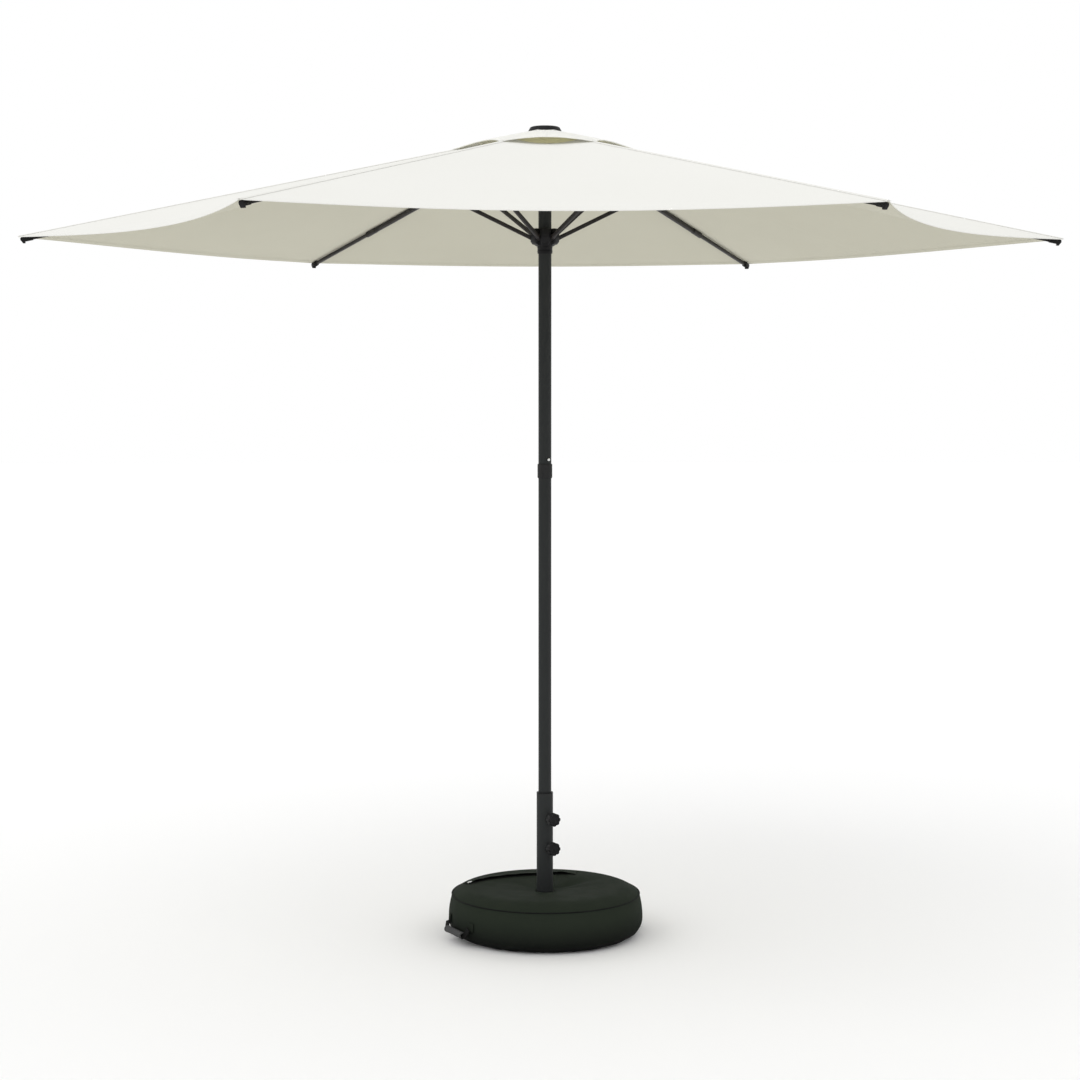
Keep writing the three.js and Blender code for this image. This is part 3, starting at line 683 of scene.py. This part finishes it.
def centre_patch():
    """The doubled cloth under the finial, sewn over the tops of the vent panels and held on the mast."""
    rings = []
    for radius in np.linspace(PATCH_BORE, PATCH_RADIUS, 12):
        ring = []
        for step in range(ROUND):
            angle = TURN * step / ROUND
            from_middle = (angle % SPOKE) - HALF_PANEL
            out = radius * math.cos(from_middle)
            ridge = VENT_RIDGE - VENT_SLOPE * (out / math.cos(HALF_PANEL) - VENT_SEAT)
            ring.append((radius * math.cos(angle), radius * math.sin(angle), ridge + 2.2 * MM))
        rings.append(ring)
    layout = flat_layout(rings, True)
    hem = [[(1.0, PATCH_RADIUS - PATCH_BORE - flat[1]) for flat in row] for row in layout]
    mesh = clean(grid_mesh("canopy_centre_patch", rings, True, layouts={"weave": layout, "edges": hem}))
    # the patch's underside takes the canopy's underside cloth, whose darker, yellower tone is painted shade
    made = piece("canopy_centre_patch", mesh, "canopy_top", "mast", extra=["canopy_underside_painted_shade"])
    thicken(made, 1.1 * MM, -1, material_offset=1)


def build_canopy():
    for index in range(SPOKES):
        number = index + 1
        # the underside and the part under the vent cap take cloths with painted shade
        finishes = ["canopy_top", "canopy_underside_painted_shade", "vent_lining_painted_shade", "vent_lining_painted_shade"]
        main = gore(f"canopy_panel_{number}", index, CANOPY, canopy_height, finishes)
        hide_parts(f"canopy_gore_{number}")
        # the cap's underside takes a cloth whose beige tint is painted shade
        top = gore(f"vent_panel_{number}", index, VENT, vent_height, ["vent_top", "vent_underside_painted_shade"])
        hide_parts(f"vent_gore_{number}")
        seam_tape(number)
    centre_patch()


# ---------- mast, crown and runner ----------
def tube_wall(radius, start, end):
    """The profile of a steel tube's wall, from the inner edge of its foot to that of its top."""
    inner = radius - TUBE_WALL
    return [(inner, start), (radius, start), (radius, end), (inner, end)]


def build_mast():
    gap = 0.3 * MM
    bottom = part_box("lower_pole")[0].z
    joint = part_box("upper_pole")[0].z - gap
    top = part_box("upper_pole")[1].z
    for node, start, end in (("lower_pole", bottom, joint), ("upper_pole", joint + gap, top)):
        mesh = turned(f"{node}_tube", rounded(tube_wall(POLE_RADIUS, start, end), 0.3 * MM))
        piece(f"{node}_tube", mesh, "painted_steel", "mast", [node])

    low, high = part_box("pole_collar")
    inner = POLE_RADIUS + 0.3 * MM
    collar = [
        (inner, low.z),
        (high.x - 1 * MM, low.z),
        (high.x, low.z + 3 * MM),
        (high.x, high.z - 2 * MM),
        (high.x - 1 * MM, high.z),
        (inner, high.z),
    ]
    piece("pole_collar_sleeve", turned("pole_collar_sleeve", rounded(collar, 1.2 * MM, 4)), "ribbed_plastic",
          "mast", ["pole_collar"])
    snap_button_dome()


def snap_button_dome():
    """The bright spring button, with the dark plastic bush it comes through."""
    low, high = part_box("snap_button")
    centre = (low + high) / 2
    azimuth = math.atan2(centre.y, centre.x)
    place = Matrix.Translation((0, 0, centre.z)) @ Matrix.Rotation(azimuth, 4, "Z") @ Matrix.Rotation(
        math.pi / 2, 4, "Y")
    radius = (high.z - low.z) / 2
    face = POLE_RADIUS + 2.6 * MM
    rise = 1.8 * MM
    quarter = np.linspace(0, math.pi / 2, 8)
    dome = [(radius * math.cos(a), face - rise + rise * math.sin(a)) for a in quarter]
    mesh = turned("snap_button_dome", [(0, 8.4 * MM), (radius, 8.4 * MM), *dome], 36)
    mesh.transform(place)
    piece("snap_button_dome", mesh, "bright_steel", "snap_button", ["snap_button"])
    bush = [(radius + 0.4 * MM, POLE_RADIUS - 1.2 * MM), (radius + 0.4 * MM, POLE_RADIUS + 0.2 * MM),
            (radius + 1.6 * MM, POLE_RADIUS + 0.1 * MM), (radius + 2.2 * MM, POLE_RADIUS - 1.2 * MM)]
    mesh = turned("snap_button_bush", rounded(bush, 0.3 * MM), 36)
    mesh.transform(place)
    piece("snap_button_bush", mesh, "black_plastic", "mast")


def build_crown():
    refined("crown_hub", "black_plastic", 0.6 * MM)
    low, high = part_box("finial_cap")
    seat = FINIAL_SEAT
    rim = high.x
    dome = [
        (0, low.z),
        (FINIAL_BORE, low.z),
        (FINIAL_BORE, seat + 5 * MM),
        (rim - 3 * MM, seat + 0.6 * MM),
        (rim - 0.4 * MM, seat),
        (rim, seat + 1.2 * MM),
        (rim - 5 * MM, high.z - 2.6 * MM),
        (rim - 10 * MM, high.z - 0.6 * MM),
        (rim - 22 * MM, high.z - 0.1 * MM),
        (0, high.z),
    ]
    piece("finial_dome", turned("finial_dome", rounded(dome, 1.6 * MM, 4), 96), "black_plastic", "mast",
          ["finial_cap"])


def build_runner():
    refined("runner", "black_plastic", 0.7 * MM)
    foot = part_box("runner")[0].z
    corner = RUNNER_WIRE["radius"] / math.cos(HALF_PANEL)
    corners = [polar(corner, 30 + 60 * i, RUNNER_WIRE["height"]) for i in range(SPOKES)]
    path = []
    for start, end in zip(corners, corners[1:] + corners[:1]):
        path += [start.lerp(end, share) for share in np.linspace(0, 1, 6)[:-1]]
    wire = sweep("runner_wire", path, circle(RUNNER_WIRE["thickness"] / 2), closed=True)
    piece("runner_wire", wire, "bright_steel", "runner")
    inner, outer = RUNNER_BEAD_INNER, RUNNER_BEAD_OUTER
    for offset in (6 * MM, 16 * MM):
        z = foot + offset
        band = [(inner, z - 1 * MM), (outer, z - 0.6 * MM), (outer, z + 0.6 * MM), (inner, z + 1 * MM)]
        name = f"runner_bead_{round(offset / MM)}"
        piece(name, turned(name, rounded(band, 0.3 * MM)), "black_plastic", "runner")


# ---------- ribs and struts ----------
def rivet(name, place, body, radius=3.4 * MM, head=1.6 * MM):
    """A domed rivet head that stands on the plane Z = 0 of its own axes."""
    dome = [(radius * math.cos(a), head * math.sin(a)) for a in np.linspace(0, math.pi / 2, 7)]
    mesh = turned(name, [(0, -0.5 * MM), (radius, -0.5 * MM), *dome], 24)
    mesh.transform(place)
    piece(name, mesh, "bright_steel", body)


def build_spokes():
    side_faces = {"left": -1, "right": 1}
    for index in range(SPOKES):
        number = index + 1
        refined(f"rib_{number}_inner", "rib_steel", 0.5 * MM)
        refined(f"rib_{number}_outer", "rib_steel", 0.5 * MM)
        refined(f"rib_{number}_cap", "black_plastic", 0.7 * MM)
        refined(f"strut_{number}", "rib_steel", 0.5 * MM)
        for hand, sign in side_faces.items():
            upright = Matrix.Rotation(-sign * math.pi / 2, 4, "X")
            at_bracket = Matrix.Translation((BRACKET_STATION, sign * BRACKET_HALF_WIDTH, -BRACKET_DROP))
            place = rib_matrix(index) @ at_bracket @ upright
            rivet(f"rib_{number}_bracket_rivet_{hand}", place, f"rib_{number}")


# ---------- base tube and clamps ----------
def build_base_tube():
    profile = tube_wall(TUBE_RADIUS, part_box("base_tube")[0].z, TUBE_TOP)
    mesh = turned("base_tube_body", rounded(profile, 0.5 * MM))
    piece("base_tube_body", mesh, "painted_steel", "base", ["base_tube"])
    bush_low, bush_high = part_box("tube_bush")
    gap = 0.3 * MM
    sleeve = TUBE_RADIUS - TUBE_WALL - gap
    bush = [
        (BUSH_BORE, bush_low.z),
        (sleeve, bush_low.z),
        (sleeve, TUBE_TOP + gap),
        (TUBE_RADIUS, TUBE_TOP + gap),
        (TUBE_RADIUS, bush_high.z),
        (BUSH_BORE, bush_high.z),
        (BUSH_BORE, bush_low.z),
    ]
    piece("tube_bush_ring", turned("tube_bush_ring", rounded(bush, 0.6 * MM)), "black_plastic", "base",
          ["tube_bush"])
    for name in ("upper", "lower"):
        build_clamp(name)


def clamp_matrix(name):
    low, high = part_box(f"clamp_knob_{name}")
    azimuth = math.atan2((low.y + high.y) / 2, (low.x + high.x) / 2)
    height = (low.z + high.z) / 2
    turn = Matrix.Rotation(azimuth, 4, "Z") @ Matrix.Rotation(math.pi / 2, 4, "Y")
    return Matrix.Translation((0, 0, height)) @ turn


def build_clamp(name):
    place = clamp_matrix(name)
    face = TUBE_RADIUS + NUT_DEPTH
    profile = [
        (NUT_RADIUS * 0.5, face),
        (NUT_RADIUS * 0.86, face),
        (NUT_RADIUS, face - 1 * MM),
        (NUT_RADIUS, TUBE_RADIUS - 2 * MM),
    ]
    rings = [[(x, y, height) for x, y in circle(radius, 6)] for radius, height in profile]
    mesh = woven(f"clamp_nut_{name}", rings, True)
    mesh.transform(place)
    piece(f"clamp_nut_{name}", mesh, "painted_steel", "base", smooth=20)
    weld = sweep(f"clamp_weld_{name}", weld_path(), circle(WELD_RADIUS, 8), closed=True)
    weld.transform(place)
    piece(f"clamp_weld_{name}", weld, "painted_steel", "base")
    build_knob(name, place)
    dress(f"clamp_pad_{name}", "black_plastic")


def weld_path():
    """The line where a round boss as wide as the nut meets the tube, in the clamp's axes, slightly uneven."""
    points = []
    for step in range(40):
        angle = TURN * step / 40
        radius = NUT_RADIUS * 0.98 + 0.25 * MM * math.sin(11 * angle)
        across = radius * math.sin(angle)
        points.append((radius * math.cos(angle), across, math.sqrt(TUBE_RADIUS**2 - across**2) + 0.4 * MM))
    return points


def build_knob(name, place):
    """An eight-lobed hand knob with a recessed face, on its threaded stud."""
    lobes, start = KNOB["lobes"], KNOB["start"]
    end = start + KNOB["thickness"]
    columns = lobes * 14

    def ring(scale, height, lobed=1.0):
        points = []
        for step in range(columns):
            angle = TURN * step / columns
            dip = KNOB["depth"] * lobed * (1 - abs(math.cos(lobes * angle / 2)))
            r = (KNOB["radius"] - dip) * scale
            points.append((r * math.cos(angle), r * math.sin(angle), height))
        return points

    rings = [
        ring(0.0, STUD["tip"], 0),
        ring(STUD["share"], STUD["tip"], 0),
        ring(STUD["share"], STUD["neck"], 0),
        ring(STUD["neck_share"], STUD["neck"], 0),
        ring(STUD["neck_share"], start - 0.5 * MM, 0),
        ring(0.80, start),
        ring(0.93, start + 0.4 * MM),
        ring(0.985, start + 1.6 * MM),
        ring(1.0, start + 3.5 * MM),
        ring(1.0, end - 4 * MM),
        ring(0.985, end - 2.2 * MM),
        ring(0.93, end - 0.8 * MM),
        ring(0.86, end - 0.2 * MM),
        ring(0.78, end - 0.1 * MM, 0.6),
        ring(0.70, end - 0.5 * MM, 0.2),
        ring(0.66, end - 1.6 * MM, 0),
        ring(0.30, end - 1.9 * MM, 0),
        ring(0.22, end - 1.2 * MM, 0),
        ring(0.0, end - 1.1 * MM, 0),
    ]
    title = f"clamp_knob_{name}_head"
    mesh = woven(title, rings, True)
    mesh.transform(place)
    piece(title, mesh, "black_plastic", f"clamp_knob_{name}", [f"clamp_knob_{name}"], smooth=40)


# ---------- bag ----------
def bump_at(angle, degrees, width):
    """1 at an azimuth, falling smoothly to 0 over a width in degrees."""
    away = (math.degrees(angle) - degrees + 180) % 360 - 180
    return math.exp(-((away / width) ** 2))


def bag_side_radius(height):
    """The bag's radius at a height, before its bulges: round below the belly, and drawn in above it."""
    if height < BAG_BELLY_HEIGHT:
        share = 1 - height / BAG_BELLY_HEIGHT
        return BAG_FOOT + (BAG_RADIUS - BAG_FOOT) * math.sqrt(max(1 - share * share, 0))
    share = (height - BAG_BELLY_HEIGHT) / (SEAM_HEIGHT - BAG_BELLY_HEIGHT)
    return BAG_RADIUS - (BAG_RADIUS - SEAM_RADIUS) * share * share


def settled(radius, angle, height):
    """A point of the bag, moved with the sand that has settled to one side."""
    shift = BAG_SHIFT * max(radius - TUBE_RADIUS, 0) / (BAG_RADIUS - TUBE_RADIUS)
    return Vector((radius * math.cos(angle) + shift, radius * math.sin(angle), height))


def side_point(height, angle):
    """A point of the bag's side, with soft bulges and the gathers along its foot."""
    heading = Vector((math.cos(angle), math.sin(angle), 0))
    soft = noise.noise(heading * 1.7 + Vector((0, 0, height * 9)))
    fine = noise.noise(heading * 6.0 + Vector((3, 1, height * 30)))
    on_side = math.exp(-(((height - BAG_BELLY_HEIGHT) / 0.045) ** 2))
    near_foot = math.exp(-(((height - 0.010) / 0.014) ** 2))
    gather = 0.3 + bump_at(angle, -60, 24) + bump_at(angle, -128, 14) + 0.5 * bump_at(angle, 90, 60)
    pucker = noise.noise(heading * 7.5 + Vector((9, 4, 0)))
    radius = bag_side_radius(height) + (1.6 * soft + 0.7 * fine) * MM * on_side
    return settled(radius + near_foot * gather * 6.0 * MM * pucker, angle, height)


def top_height(radius, angle):
    """The height of the bag's top: its round shoulder, its dip towards the tube, and its folds."""
    inward = (SEAM_RADIUS - radius) / (SEAM_RADIUS - TUBE_RADIUS)
    if radius > CREST_RADIUS:
        share = (radius - CREST_RADIUS) / (SEAM_RADIUS - CREST_RADIUS)
        height = BAG_TOP - (BAG_TOP - SEAM_HEIGHT) * share**CREST_SHOULDER
    else:
        height = BAG_TOP - CREST_DIP * ((CREST_RADIUS - radius) / (CREST_RADIUS - TUBE_RADIUS)) ** CREST_POWER
    slack = math.exp(-(((radius - 0.085) / 0.050) ** 2))
    fold = 9.0 * bump_at(angle, 36, 14) + 1.5 * bump_at(angle, 2, 9) + 1.2 * bump_at(angle, 150, 15)
    heading = Vector((math.cos(angle), math.sin(angle), 0))
    ripple = noise.noise(heading * radius * 16 + Vector((5, 2, 0)))
    return height - slack * fold * MM + 1.0 * MM * ripple * inward - 0.5 * MM


def build_bag():
    angles = [TURN * i / BAG_COLUMNS for i in range(BAG_COLUMNS)]
    under = [[settled(r, a, FLOOR_GAP) for a in angles] for r in np.linspace(30 * MM, BAG_FOOT - 8 * MM, 8)]
    heights = FLOOR_GAP + (SEAM_HEIGHT - FLOOR_GAP) * np.linspace(0, 1, 26) ** 1.4
    side = [[side_point(z, a) for a in angles] for z in heights]
    top_radii = np.linspace(SEAM_RADIUS - 4 * MM, TUBE_RADIUS + 1.2 * MM, 44)
    top = [[settled(r, a, top_height(r, a)) for a in angles] for r in top_radii]
    rings = [*under, *side, *top]
    cover = piece("bag_cover", woven("bag_cover", rings, True), "bag_cloth", "base", ["bag_shell"], smooth=0)
    thicken(cover, BAG_CLOTH, -1)
    radius, height = SEAM_RADIUS + 0.2 * MM, SEAM_HEIGHT + 0.6 * MM
    path = [settled(radius, math.radians(d), height) for d in range(0, 360, 2)]
    piping = sweep("bag_piping", path, circle(PIPING_RADIUS, 10), closed=True)
    piece("bag_piping", piping, "binding", "base")
    build_zip()
    for name, azimuth in HANDLE_AZIMUTHS.items():
        build_handle(name, azimuth)


def zip_point(offset, degrees, lift):
    """A point beside the zip's arc; the offset runs outwards, away from the arc's centre."""
    place = ZIP_CENTRE + polar(ZIP_RADIUS + offset, degrees, 0)
    place.z = top_height(math.hypot(place.x, place.y), math.atan2(place.y, place.x)) + lift
    return place


def build_zip():
    """A coil zip along an arc behind the tube, its tape, and the flap that covers it."""
    degrees = np.linspace(ZIP_FROM, ZIP_TO, 90)
    tape = [[zip_point(across * MM, d, 0.5 * MM) for across in range(-10, 11, 4)] for d in degrees]
    made = piece("zip_tape", woven("zip_tape", tape), "binding", "base", smooth=0)
    thicken(made, 0.5 * MM, 0)
    teeth = bmesh.new()
    count = 120
    for side in (-1, 1):
        for step in range(count):
            heading = ZIP_FROM + (ZIP_TO - 1 - ZIP_FROM) * (step + 0.5 * (side > 0)) / count
            place = Matrix.Translation(zip_point(side * 1.2 * MM, heading, 1.2 * MM))
            place = place @ Matrix.Rotation(math.radians(heading), 4, "Z")
            size = Matrix.Diagonal((2.6 * MM, 1.1 * MM, 1.1 * MM, 1))
            bmesh.ops.create_uvsphere(teeth, u_segments=6, v_segments=4, radius=0.5, matrix=place @ size)
    mesh = bpy.data.meshes.new("zip_teeth")
    teeth.to_mesh(mesh)
    teeth.free()
    piece("zip_teeth", mesh, "black_plastic", "base")
    flap = []
    for heading in degrees[degrees < ZIP_TO - 2]:
        from_end = min(ZIP_TO - heading, heading - ZIP_FROM)
        opened = math.sin(math.pi / 2 * min(from_end / FLAP_EASE, 1))
        row = []
        for share in np.linspace(0, 1, 11):
            wave = 0.6 * MM * math.sin(heading * 0.6) * share
            lift = 1.0 * MM + 6.0 * MM * opened * share**1.6 + wave
            row.append(zip_point(26 * MM - share * 31 * MM, heading, lift))
        flap.append(row)
    made = piece("zip_flap", woven("zip_flap", flap), "bag_cloth", "base", smooth=0)
    thicken(made, 0.9 * MM, 0)
    refined("zip_pull", "bright_steel", 0.3 * MM)


def build_handle(name, azimuth):
    """A carrying handle: webbing sewn to the bag's side at both ends and run through a moulded grip."""
    turn = Matrix.Rotation(math.radians(azimuth), 4, "Z")
    body = f"handle_{name}"
    half, radial, height = HANDLE["half"], HANDLE["radial"], HANDLE["height"]
    for hand, sign in (("left", -1), ("right", 1)):
        run = [
            (radial, sign * (GRIP_HALF - 12 * MM), height),
            (radial, sign * GRIP_HALF, height),
            (radial - 3 * MM, sign * half, height + 4 * MM),
            (HANDLE["sewn_radial"] + 2 * MM, sign * (half + 7 * MM), HANDLE["sewn_height"]),
        ]
        path = smooth_path(run, 5)
        widths = list(np.interp(range(len(path)), (0, 5, 10, len(path) - 1), (0.62, 0.95, 1, 1)))
        title = f"handle_{name}_webbing_{hand}"
        strap = sweep(title, path, flat_band(19 * MM, 2.2 * MM), up=(1, 0, 0.3), widths=widths)
        strap.transform(turn)
        piece(title, strap, "webbing", body, [f"handle_strap_{name}"] if sign > 0 else ())
        build_patch(f"handle_{name}_patch_{hand}", sign * (half + 9 * MM), turn)
    lip, waist = GRIP_RADIUS, GRIP_RADIUS - 0.9 * MM
    bore = 6 * MM
    near_end = [
        (bore, -GRIP_HALF),
        (lip - 0.5 * MM, -GRIP_HALF),
        (lip, -GRIP_HALF + 1.5 * MM),
        (lip, -GRIP_HALF + 4 * MM),
        (waist, -GRIP_HALF + 7 * MM),
    ]
    outline = [*near_end, *[(radius, -height) for radius, height in reversed(near_end)], near_end[0]]
    mesh = turned(f"handle_{name}_sleeve", rounded(outline, 0.8 * MM), 48)
    mesh.transform(turn @ Matrix.Translation((radial, 0, height)) @ Matrix.Rotation(math.pi / 2, 4, "X"))
    piece(f"handle_{name}_sleeve", mesh, "grip_rubber", body, [f"handle_grip_{name}"])


def build_patch(title, middle, turn):
    """A patch of the bag's cloth over a sewn end of the webbing, in the axes of its handle."""
    centre = HANDLE["sewn_height"] + 4 * MM
    rows = []
    for up in np.linspace(-0.5, 0.5, 7):
        z = centre + up * SEWN_PATCH["tall"]
        sides = [middle + across * SEWN_PATCH["width"] for across in np.linspace(-0.5, 0.5, 9)]
        radius = bag_side_radius(z)
        rows.append([(math.sqrt(radius**2 - y * y) + SEWN_PATCH["lift"], y, z) for y in sides])
    mesh = woven(title, rows)
    mesh.transform(turn)
    made = piece(title, mesh, "bag_cloth", "base")
    thicken(made, SEWN_PATCH["thickness"], 0)


def smooth_path(points, steps):
    """A Catmull-Rom line through the points."""
    points = [Vector(p) for p in points]
    padded = [2 * points[0] - points[1], *points, 2 * points[-1] - points[-2]]
    out = []
    for a, b, c, d in zip(padded, padded[1:], padded[2:], padded[3:]):
        for step in range(steps):
            t = step / steps
            out.append(0.5 * ((2 * b) + (c - a) * t + (2 * a - 5 * b + 4 * c - d) * t * t
                              + (3 * b - a - 3 * c + d) * t**3))
    out.append(points[-1])
    return out


# ---------- CAD parts that keep their shape ----------
def dress_plain_nodes():
    looks = {
        "pole_plug": "black_plastic",
        "snap_spring": "bright_steel",
        "sand_fill": "sand",
        "foot_cross": "painted_steel",
        "crown_wire": "bright_steel",
    }
    for node, look in looks.items():
        dress(node, look)


# ---------- stage ----------
def build_stage():
    floor_mesh = bpy.data.meshes.new("floor")
    reach = 40
    corners = [(-reach, -reach, 0), (reach, -reach, 0), (reach, reach, 0), (-reach, reach, 0)]
    floor_mesh.from_pydata(corners, [], [(0, 1, 2, 3)])
    floor = bpy.data.objects.new("floor", floor_mesh)
    bpy.context.scene.collection.objects.link(floor)
    pale = bpy.data.materials.new("pale_floor")
    pale.use_nodes = True
    shader = pale.node_tree.nodes["Principled BSDF"]
    shader.inputs["Base Color"].default_value = (0.93, 0.93, 0.93, 1)
    shader.inputs["Roughness"].default_value = 0.9
    floor_mesh.materials.append(pale)

    world = bpy.data.worlds.new("studio")
    world.use_nodes = True
    world.node_tree.nodes["Background"].inputs["Color"].default_value = (1, 1, 1, 1)
    world.node_tree.nodes["Background"].inputs["Strength"].default_value = 1.0
    bpy.context.scene.world = world

    data = bpy.data.lights.new("key", "SUN")
    data.energy = 0.5
    data.angle = math.radians(60)
    light = bpy.data.objects.new("key", data)
    light.location = (-3, -4, 6)
    light.rotation_euler = (-light.location).to_track_quat("-Z", "Y").to_euler()
    bpy.context.scene.collection.objects.link(light)


def build_camera():
    data = bpy.data.cameras.new("camera")
    data.sensor_width = SENSOR
    data.lens = LENS
    camera = bpy.data.objects.new("camera", data)
    camera.location = CAMERA_PLACE
    camera.rotation_euler = Euler((math.radians(CAMERA_PITCH), 0, math.radians(CAMERA_HEADING)))
    bpy.context.scene.collection.objects.link(camera)
    bpy.context.scene.camera = camera
    bpy.context.scene.view_settings.view_transform = "Standard"


build_camera()
build_stage()
build_canopy()
build_mast()
build_crown()
build_runner()
build_spokes()
build_base_tube()
build_bag()
dress_plain_nodes()
